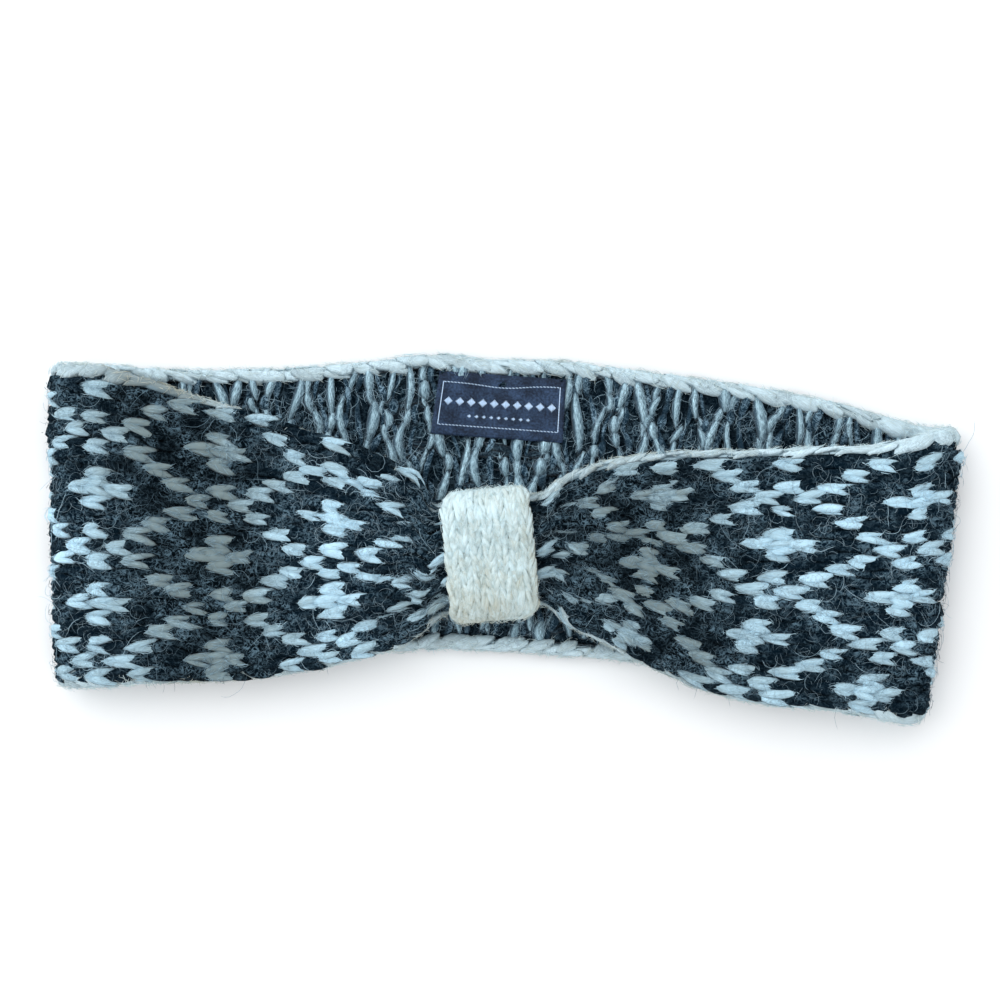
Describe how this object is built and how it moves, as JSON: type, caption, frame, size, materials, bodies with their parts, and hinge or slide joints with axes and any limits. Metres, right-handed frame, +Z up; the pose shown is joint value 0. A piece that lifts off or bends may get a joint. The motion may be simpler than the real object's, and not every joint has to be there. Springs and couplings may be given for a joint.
{
  "type": "ear warmer headband",
  "caption": "Wide patterned knit headband lying flat, a closed loop gathered at the front by a short knitted wrap, with a sewn label inside the back.",
  "frame": {"origin": "middle of the bounding box, on the surface the headband lies on", "axes": "+X along the folded loop from fold to fold, +Y across the knit towards the edge that carries the label, +Z up from the surface"},
  "size_m": [0.255, 0.1008, 0.021],
  "materials": {
    "patterned_knit": "fuzzy two-colour stranded wool knit, navy black with icy white",
    "edging_yarn": "fuzzy icy white wool chain stitches",
    "wrap_knit": "cream wool stocking stitch",
    "label_weave": "smooth slate woven damask"
  },
  "bodies": {
    "root": {"band": "patterned_knit", "edging_upper": "edging_yarn", "edging_lower": "edging_yarn", "wrap": "wrap_knit", "label": "label_weave"}
  },
  "joints": []
}
